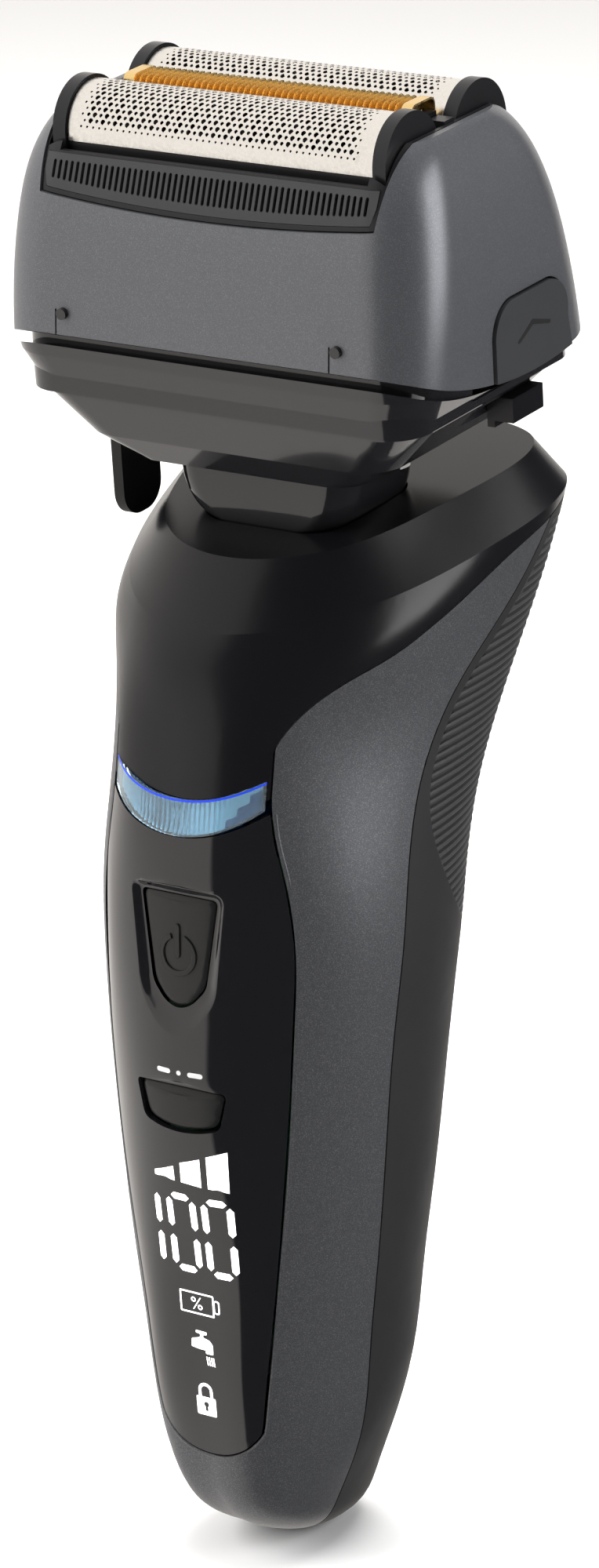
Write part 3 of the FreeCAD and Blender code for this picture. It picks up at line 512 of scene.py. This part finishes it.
def key_caps(height):
    """The two keys, slightly domed, with soft edges and the raised power sign."""
    for name, shape, body, deep in (("power", POWER, "power_key", POWER_SINK),
                                    ("select", SELECT, "select_key", SELECT_SINK)):
        outline = key_outline(*shape, 0.0)
        lip = key_outline(*shape, -0.3)
        (low, high), (_, head), _ = shape
        spots = grid((-head, low), (head, high), 0.5,
                     lambda p: inside(p, lip) and loop_distance(p, lip) > 0.15)
        flat = triangulate(outline, [], [lip], spots)

        def place(x, z):
            point, normal = on_front(height, deep)(x, z)
            edge = loop_distance((x, z), outline)
            return point - normal * (0.22 * max(0.0, 1 - edge / 0.35) ** 2), normal

        sheet_piece(name + "_key_fine", flat, place, 1.0, LOOKS["key_black"], body,
                    [name + "_key"])
    ring = arc((0, 74.5), 2.45, 112, 428, 30) + arc((0, 74.5), 1.85, 428, 112, 30)
    stem = capsule(0.0, 74.1, 78.0, 0.34)
    for name, loop in (("power_ring", ring), ("power_stem", stem)):
        made = sheet_piece(name, triangulate(loop), on_front(height, POWER_SINK - 0.2), 0.35, LOOKS["key_black"],
                           "power_key")
        soften(made, 0.09)


def soften(made, width_mm):
    """Rounds a piece's hard edges."""
    bevel = made.modifiers.new("soft_edges", "BEVEL")
    bevel.width = width_mm * MM
    bevel.segments = 2
    bevel.limit_method = "ANGLE"
    bevel.angle_limit = math.radians(40)


# ---- display ------------------------------------------------------------------------------------------
def segment(a, b, half):
    """One straight lit segment with pointed ends, from a to b."""
    a, b = Vector(a), Vector(b)
    run = (b - a).normalized()
    side = Vector((-run.y, run.x)) * half
    tip = run * half
    return [tuple(p) for p in (a, a + tip + side, b - tip + side, b, b - tip - side, a + tip - side)]


def digit(x, lit):
    """A seven-segment digit's lit segments: its left edge is at x."""
    wide, low, middle, high, half = 3.1, 37.0, 41.5, 46.0, 0.42
    gap = 0.35
    left, right = x, x + wide
    places = {"top": ((left + gap, high), (right - gap, high)), "low": ((left + gap, low), (right - gap, low)),
              "ul": ((left, high - gap), (left, middle + 0.5)), "ur": ((right, high - gap), (right, middle + 0.5)),
              "ll": ((left, middle - 0.5), (left, low + gap)), "lr": ((right, middle - 0.5), (right, low + gap))}
    return [segment(*places[name], half) for name in lit]


def display(height):
    """The lit signs: charge bars, a full reading, battery, tap and lock."""
    round_zero = ["top", "low", "ul", "ur", "ll", "lr"]
    solid = [[(-4.1, 48.0), (-1.3, 47.9), (-1.3, 49.7), (-4.1, 48.6)],
             [(-0.45, 47.9), (2.15, 47.7), (2.25, 51.2), (-0.35, 50.3)],
             [(2.95, 47.7), (5.4, 47.5), (5.55, 52.5), (3.05, 51.6)]]
    solid += digit(-7.3, ["ur", "lr"]) + digit(-2.45, round_zero) + digit(2.15, round_zero)
    tap = [(-1.25, 27.35), (-1.2, 28.35), (-0.35, 28.6), (-0.05, 28.75), (-0.05, 29.1), (-0.6, 29.15), (-0.6, 29.5),
           (0.85, 29.45), (0.85, 29.1), (0.35, 29.05), (0.35, 28.7), (1.2, 28.5), (1.6, 28.0), (1.6, 26.8),
           (0.6, 26.8), (0.6, 27.2), (-0.2, 27.2)]
    solid.append(smooth_loop(tap, 0.12, 2))
    solid += [[(x, 26.45), (x + 0.16, 26.45), (x + 0.3, 25.4), (x + 0.14, 25.4)] for x in (0.62, 0.92, 1.22, 1.5)]
    hollow = [(smooth_loop([(-2.4, 31.5), (2.1, 31.5), (2.1, 34.2), (-2.4, 34.2)], 0.15, 2),
               [smooth_loop([(-2.2, 31.7), (1.9, 31.7), (1.9, 34.0), (-2.2, 34.0)], 0.1, 2)]),
              (smooth_loop([(2.1, 32.0), (2.85, 32.0), (2.85, 33.7), (2.1, 33.7)], 0.3, 2),
               [smooth_loop([(2.2, 32.18), (2.67, 32.18), (2.67, 33.52), (2.2, 33.52)], 0.2, 2)]),
              (smooth_loop([(-1.15, 18.95), (1.4, 18.95), (1.45, 21.3), (-1.1, 21.3)], 0.2, 3),
               [arc((0.15, 20.35), 0.34, -60, 240, 10) + [(-0.02, 19.5), (0.32, 19.5)]]),
              (arc((0.18, 22.1), 0.95, 0, 180, 12) + [(-0.77, 21.3), (-0.4, 21.3)]
               + arc((0.18, 22.1), 0.58, 180, 0, 12) + [(0.76, 21.3), (1.13, 21.3)], []),
              (arc((-0.62, 33.25), 0.32, 0, 340, 10), [arc((-0.62, 33.25), 0.17, 0, 340, 8)]),
              (arc((0.22, 32.4), 0.32, 0, 340, 10), [arc((0.22, 32.4), 0.17, 0, 340, 8)])]
    solid.append([(-0.75, 32.05), (-0.6, 32.05), (0.4, 33.6), (0.25, 33.6)])
    points, faces = [], []
    place = on_front(height, -SIGN_LIFT)
    for outer, holes in [(loop, []) for loop in solid] + hollow:
        low = (min(p[0] for p in outer), min(p[1] for p in outer))
        high = (max(p[0] for p in outer), max(p[1] for p in outer))
        spots, tris = triangulate(outer, holes, (), grid(low, high, 0.5, lambda p: inside(p, outer)))
        first = len(points)
        points += [place(*spot)[0] for spot in spots]
        faces += [tuple(first + i for i in face) for face in tris]
    piece("display_signs", points, faces, LED_WHITE, "handle", smooth=False)


def select_mark(height):
    """A plain printed mark over the select key: a dot between two dashes."""
    for name, x, half in (("left", -1.6, 0.9), ("dot", 0.4, 0.28), ("right", 2.4, 0.9)):
        loop = arc((x + half - 0.28, 61.2), 0.28, -90, 90, 8) + arc((x - half + 0.28, 61.2), 0.28, 90, 270, 8)
        sheet_piece("select_mark_" + name, triangulate(loop), on_front(height, -0.03), 0.06,
                    LOOKS["print_grey"], "handle")


# ---- light bar ----------------------------------------------------------------------------------------
def light_bar(height):
    """A clear tinted lens over a row of bright prisms, darker on the right part and at the far left end as painted
    shade, with a blue line along its upper edge.
    """
    top = arc_over(BAR_HALF, BAR_TOP[0], BAR_TOP[1], 40)
    low = arc_over(BAR_HALF, BAR_LOW[0], BAR_LOW[1], 40)
    points, faces = [], []
    dice = random.Random(11)
    for i in range(BAR_COLUMNS + 1):
        t = i / BAR_COLUMNS
        x = BAR_HALF * (2 * t - 1) * 0.985
        up = (x / BAR_HALF) ** 2
        z_top = BAR_TOP[1] + (BAR_TOP[0] - BAR_TOP[1]) * up - 0.1
        z_low = BAR_LOW[1] + (BAR_LOW[0] - BAR_LOW[1]) * up + 0.1
        tooth = 0.3 * (i % 3 == 0) + dice.uniform(0, 0.05)
        tooth *= max(0.25, min(1.0, 0.6 - x / 6))
        for j in range(5):
            z = z_low + (z_top - z_low) * j / 4
            sink = 0.6 + tooth + 0.5 * math.sin(math.pi * j / 4) * (i % 3 == 1) * max(0.1, 0.3 - x / 12)
            points.append(on_front(height, sink)(x, z)[0])
    for i in range(BAR_COLUMNS):
        for j in range(4):
            a = i * 5 + j
            faces.append((a, a + 5, a + 6, a + 1))
    prisms = piece("light_bar_prisms", points, faces, LOOKS["prism_blue"], "handle", smooth=False)
    prisms.data.materials.append(LOOKS["prism_deep"])
    # Faces on the bar's right part, past a slanted line, and at its far left end take the darker prism_deep:
    # painted shade.
    for face in prisms.data.polygons:
        middle = face.center / MM
        painted_shade_wedge = middle.x > 4.2 + 0.8 * (middle.z - BAR_LOW[1])
        face.material_index = int(painted_shade_wedge or middle.x < -9.0)
    lens = top + low[::-1]
    spots = grid((-BAR_HALF, 88), (BAR_HALF, 95), 0.6,
                 lambda p: inside(p, lens) and loop_distance(p, lens) > 0.25)
    flat = triangulate(lens, [], [], spots)
    sheet_piece("light_bar_lens", flat, on_front(height, 0.02), 0.35, LOOKS["clear_blue"], "handle",
                ["light_bar"])
    line = [(x, z - 0.05) for x, z in top] + [(x, z - 0.3) for x, z in top[::-1]]
    spots, tris = triangulate(line)
    place = on_front(height, -0.01)
    piece("light_bar_line", [place(*spot)[0] for spot in spots], tris, LED_BLUE, "handle", smooth=False)


# ---- edge beads ---------------------------------------------------------------------------------------
def bead(name, route, radius, material, body):
    """A thin round bead along a route of points."""
    points, faces = [], []
    sides = 8
    for i, here in enumerate(route):
        ahead = (Vector(route[min(i + 1, len(route) - 1)]) - Vector(route[max(i - 1, 0)])).normalized()
        across = ahead.cross(Vector((0.1, 1, 0.05))).normalized()
        lift = across.cross(ahead)
        for k in range(sides):
            angle = math.tau * k / sides
            points.append(Vector(here) + across * (radius * math.cos(angle)) + lift * (radius * math.sin(angle)))
    for i in range(len(route) - 1):
        for k in range(sides):
            a, b = i * sides + k, i * sides + (k + 1) % sides
            faces.append((a, b, b + sides, a + sides))
    piece(name, points, faces, material, body)


def panel_beads(height):
    """The rounded lip of the side frame along both sides of the panel and round its foot."""
    side = [(x + 0.32, z) for x, z in curve_through(PANEL_EDGE, 8)]
    foot = arc_over(side[0][0], side[0][1], PANEL_FOOT - 0.32, 30)
    loop = [(-x, z) for x, z in reversed(side)] + foot[1:-1] + side
    route = [on_front(height, 0.16)(x, z)[0] for x, z in loop]
    bead("panel_lip", route, 0.24, LOOKS["sparkle_grey"], "handle")


# ---- foils, trimmer and combs -------------------------------------------------------------------------
def sheet_edge(half, span, steps):
    """The outline of a flat sheet, with enough points on its sides to bend it."""
    across = 40
    edge = [(-half, span * (1 - i / steps)) for i in range(steps)]
    edge += [(-half + 2 * half * i / across, 0.0) for i in range(across)]
    edge += [(half, span * i / steps) for i in range(steps)]
    return edge + [(half - 2 * half * i / across, span) for i in range(across)]


def foil(row, name):
    """A thin steel foil with staggered rows of round holes in three sizes."""
    outward = -1 if row < 0 else 1
    leg = FOIL_AXIS - FOIL_FOOT
    span = leg + FOIL_R * math.radians(180 - math.degrees(math.acos((FOIL_R - 0.6) / FOIL_R)))

    def place(x, s):
        if s < leg:
            return head_point(x, row + outward * FOIL_R, FOIL_FOOT + s), HEAD_TURN @ Vector((0, outward, 0))
        angle = (s - leg) / FOIL_R
        out, up = math.cos(angle), math.sin(angle)
        return (head_point(x, row + outward * FOIL_R * out, FOIL_AXIS + FOIL_R * up),
                HEAD_TURN @ Vector((0, outward * out, up)))

    rows = int((span - 2.4) / ROW_PITCH)
    columns = int((2 * FOIL_HALF - 3.0) / FOIL_PITCH)
    holes = []
    for j in range(rows):
        s = 1.7 + j * ROW_PITCH
        for i in range(columns):
            x = -FOIL_HALF + 1.7 + (i + 0.5 * (j % 2)) * FOIL_PITCH
            at_edge = j in (0, rows - 1) or i in (0, columns - 1)
            size = EDGE_HOLE if at_edge else HOLE_SIZES[(i + j) % 2]
            holes.append(arc((x, s), size, 15, 315, 6)[:-1])
    flat = triangulate(sheet_edge(FOIL_HALF, span, 26), holes, (), [(x * 0.9, leg) for x in range(-20, 21)])
    sheet_piece(name + "_fine", flat, place, 0.08, LOOKS["foil_steel"], name, [name])


def trimmer():
    """The gold centre trimmer: a folded plate with slots that run over both shoulders."""
    half, top, corner, drop = TRIMMER_HALF, TRIMMER_TOP, TRIMMER_CORNER, TRIMMER_DROP
    turn = corner * math.pi / 2
    flat_run = 2 * (half - corner)
    span = 2 * (drop + turn) + flat_run

    def place(x, s):
        side = -1 if s < span / 2 else 1
        t = s if s < span / 2 else span - s
        if t < drop:
            y, z, normal = half, top - corner - drop + t, (0, side, 0)
        elif t < drop + turn:
            a = (t - drop) / corner
            y, z = half - corner + corner * math.cos(a), top - corner + corner * math.sin(a)
            normal = (0, side * math.cos(a), math.sin(a))
        else:
            y, z, normal = half - corner - (t - drop - turn), top, (0, 0, 1)
        return head_point(x, side * y, z), HEAD_TURN @ Vector(normal)

    pitch, steps = 2 * TRIMMER_REACH / TRIMMER_SLOTS, 24
    starts = [-TRIMMER_REACH + i * pitch for i in range(TRIMMER_SLOTS + 1)]
    holes = [capsule(-TRIMMER_REACH + (i + 0.5) * pitch, 0.45, span - 0.45, TRIMMER_SLOT, 3)
             for i in range(TRIMMER_SLOTS)]
    extra = [(x, span * j / steps) for x in starts for j in range(1, steps)]
    flat = triangulate(sheet_edge(TRIMMER_LONG, span, steps), holes, (), extra)
    sheet_piece("centre_trimmer_fine", flat, place, 0.22, LOOKS["gold_coat"], "trimmer",
                ["centre_trimmer"])


def comb(side, name):
    """A comb panel with a row of upright slots over its curved foot."""
    target = surface([name])
    outward = HEAD_TURN @ Vector((0, side, 0))

    def place(x, z):
        """The comb's skin at x, z, or beside it where a ray slips past the edge."""
        for dx in (0.0, -0.12, 0.12, -0.3, 0.3):
            for dz in (0.0, 0.12, -0.12, -0.3, 0.3):
                hit, normal, _, _ = target.ray_cast(head_point(x + dx, side * 60, z + dz), -outward)
                if hit is not None and normal.dot(outward) > 0.3:
                    return hit + HEAD_TURN @ Vector((-dx, 0, -dz)), normal
        return head_point(x, side * 15.0, z), outward

    foot_half, foot_end, foot_middle = 20.3, 26.8, 25.8
    across = 40
    outline = arc_over(foot_half, foot_end, foot_middle, across) + [(COMB_HALF, 28.5), (COMB_HALF, COMB_TOP)]
    outline += [(COMB_HALF - 2 * COMB_HALF * i / across, COMB_TOP) for i in range(1, across + 1)]
    outline.append((-COMB_HALF, 28.5))
    pitch = 2 * COMB_REACH / (COMB_SLOTS - 1)
    holes = []
    for i in range(COMB_SLOTS):
        x = -COMB_REACH + i * pitch
        low = 26.75 + 1.0 * (x / foot_half) ** 2
        holes.append(capsule(x, low, 29.55, COMB_SLOT, 4))
    flat = triangulate(outline, holes)
    sheet_piece(name + "_fine", flat, place, 0.45, LOOKS["comb_grey"], "foil_head", [name])


# ---- grip, button and small parts ---------------------------------------------------------------------
def grip_ribs():
    """The rubber pad's fine slanted ribs, cut across the pad's skin plane by plane."""
    mesh = NODES["grip_pad"].data.copy()
    made = bpy.data.objects.new("grip_pad_ribbed", mesh)
    bpy.context.scene.collection.objects.link(made)
    net = bmesh.new()
    net.from_mesh(mesh)
    bmesh.ops.remove_doubles(net, verts=net.verts, dist=0.005 * MM)
    across = Vector((0, -RIB_RISE, 1)).normalized()
    heights = [across.dot(vertex.co) / MM for vertex in net.verts]
    low, high = int(min(heights) / RIB_PITCH), int(max(heights) / RIB_PITCH) + 1
    for rib in range(low, high):
        for share, _ in RIB_SHAPE:
            bmesh.ops.bisect_plane(net, geom=net.verts[:] + net.edges[:] + net.faces[:], dist=1e-7,
                                   plane_co=across * ((rib + share) * RIB_PITCH * MM), plane_no=across)
    net.normal_update()
    steps = RIB_SHAPE + [(1.0, RIB_SHAPE[0][1])]
    moves = []
    for vertex in net.verts:
        phase = (across.dot(vertex.co) / MM / RIB_PITCH) % 1.0
        outward = Vector((vertex.co.x, vertex.co.y + 0.004, 0)).normalized()
        if vertex.normal.dot(outward) < 0.35:
            continue
        for (a, deep_a), (b, deep_b) in zip(steps, steps[1:]):
            if a <= phase <= b:
                depth = deep_a + (deep_b - deep_a) * (phase - a) / (b - a)
                moves.append((vertex, vertex.normal * (depth * MM)))
                break
    for vertex, move in moves:
        vertex.co -= move
    net.to_mesh(mesh)
    net.free()
    mesh.materials.clear()
    mesh.materials.append(LOOKS["grip_rubber"])
    for face in mesh.polygons:
        face.use_smooth = False
    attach(made, "handle")
    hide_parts("grip_pad")


def chevrons():
    """The engraved arrow on each release button, drawn as a thin near-black sheet: painted shade."""
    for side, end in ((1, "right"), (-1, "left")):
        target = surface(["release_button_" + end])
        body = "release_" + end
        inward = HEAD_TURN @ Vector((-side, 0, 0))

        def place(y, z):
            hit, normal, _, _ = target.ray_cast(head_point(side * 60, y, z), inward)
            return hit + normal * 0.02, normal

        flat = triangulate(smooth_loop(CHEVRON, 0.15, 2))
        # The near-black sheet stands for the shade inside the engraved arrow: painted shade.
        sheet_piece(f"chevron_{body}", flat, place, 0.1, LOOKS["deep_black"], body)


# ---- studio -------------------------------------------------------------------------------------------
def camera():
    """The camera, solved for the viewing angle."""
    data = bpy.data.cameras.new("camera")
    data.sensor_fit = "VERTICAL"
    data.sensor_height = 36.0
    data.lens = 130.3
    data.clip_start = 0.01
    eye = bpy.data.objects.new("camera", data)
    eye.location = Vector(EYE)
    target = Vector(EYE_AIM)
    eye.rotation_euler = (target - eye.location).to_track_quat("-Z", "Y").to_euler()
    bpy.context.scene.collection.objects.link(eye)
    bpy.context.scene.camera = eye


def softbox(name, place, aim, size, power, mirrored_in_gloss=False):
    """A rectangular area light; only some show in glossy surfaces."""
    data = bpy.data.lights.new(name, "AREA")
    data.shape = "RECTANGLE"
    data.size, data.size_y = size
    data.energy = power
    lamp = bpy.data.objects.new(name, data)
    lamp.location = Vector(place)
    lamp.rotation_euler = (Vector(aim) - Vector(place)).to_track_quat("-Z", "Y").to_euler()
    bpy.context.scene.collection.objects.link(lamp)
    lamp.visible_glossy = mirrored_in_gloss


def mirrored(height, x, z):
    """The direction that the camera sees mirrored in the front panel at x, z."""
    point, normal = on_front(height, 0.0)(x, z)
    view = (bpy.context.scene.camera.location - point * MM).normalized()
    return 2 * normal.dot(view) * normal - view


def surroundings(height):
    """A world that is warm grey on the left of one plane and dark on its right."""
    world = bpy.data.worlds.new("studio")
    world.use_nodes = True
    nodes, links = world.node_tree.nodes, world.node_tree.links
    plane = mirrored(height, *EDGE_SPOT).cross(Vector((0, 0, 1))).normalized()
    if plane.x > 0:
        plane = -plane
    around = nodes.new("ShaderNodeTexCoord")
    side = nodes.new("ShaderNodeVectorMath")
    side.operation = "DOT_PRODUCT"
    side.inputs[1].default_value = plane
    links.new(around.outputs["Generated"], side.inputs[0])
    ramp = nodes.new("ShaderNodeValToRGB")
    ramp.color_ramp.elements[0].position, ramp.color_ramp.elements[0].color = 0.49, (*STUDIO_DARK, 1)
    ramp.color_ramp.elements[1].position, ramp.color_ramp.elements[1].color = 0.52, (*STUDIO_WARM, 1)
    shift = nodes.new("ShaderNodeMath")
    shift.operation = "MULTIPLY_ADD"
    shift.inputs[1].default_value, shift.inputs[2].default_value = 0.5, 0.5
    links.new(side.outputs["Value"], shift.inputs[0])
    links.new(shift.outputs[0], ramp.inputs["Fac"])
    links.new(ramp.outputs["Color"], nodes["Background"].inputs["Color"])
    bpy.context.scene.world = world


def studio(height):
    """A pale floor, the surroundings and three soft lights."""
    mesh = bpy.data.meshes.new("floor")
    mesh.from_pydata([(-3, -3, 0), (3, -3, 0), (3, 3, 0), (-3, 3, 0)], [], [(0, 1, 2, 3)])
    floor = bpy.data.objects.new("floor", mesh)
    paint = Paint("floor", (0.9, 0.9, 0.9), 0.7)
    paint.rough(paint.noise(80.0), 0.65, 0.75)
    mesh.materials.append(paint.material)
    bpy.context.scene.collection.objects.link(floor)
    floor.visible_glossy = False
    surroundings(height)
    bpy.context.scene.view_settings.view_transform = "Standard"
    softbox("key_left", (-0.7, -0.55, 0.55), (0, 0, 0.1), (0.7, 0.9), 13.0)
    softbox("fill_right", (0.9, 0.25, 0.4), (0, 0, 0.1), (0.6, 0.9), 9.0, True)
    softbox("top", (0.0, 0.15, 0.9), (0, 0, 0.1), (0.6, 0.6), 12.0)


dress_cad()
HEIGHT = front_height()
front_panel(HEIGHT)
key_caps(HEIGHT)
display(HEIGHT)
select_mark(HEIGHT)
light_bar(HEIGHT)
panel_beads(HEIGHT)
foil(-FOIL_ROW, "front_foil")
foil(FOIL_ROW, "rear_foil")
trimmer()
comb(-1, "front_comb")
comb(1, "rear_comb")
grip_ribs()
chevrons()
camera()
studio(HEIGHT)
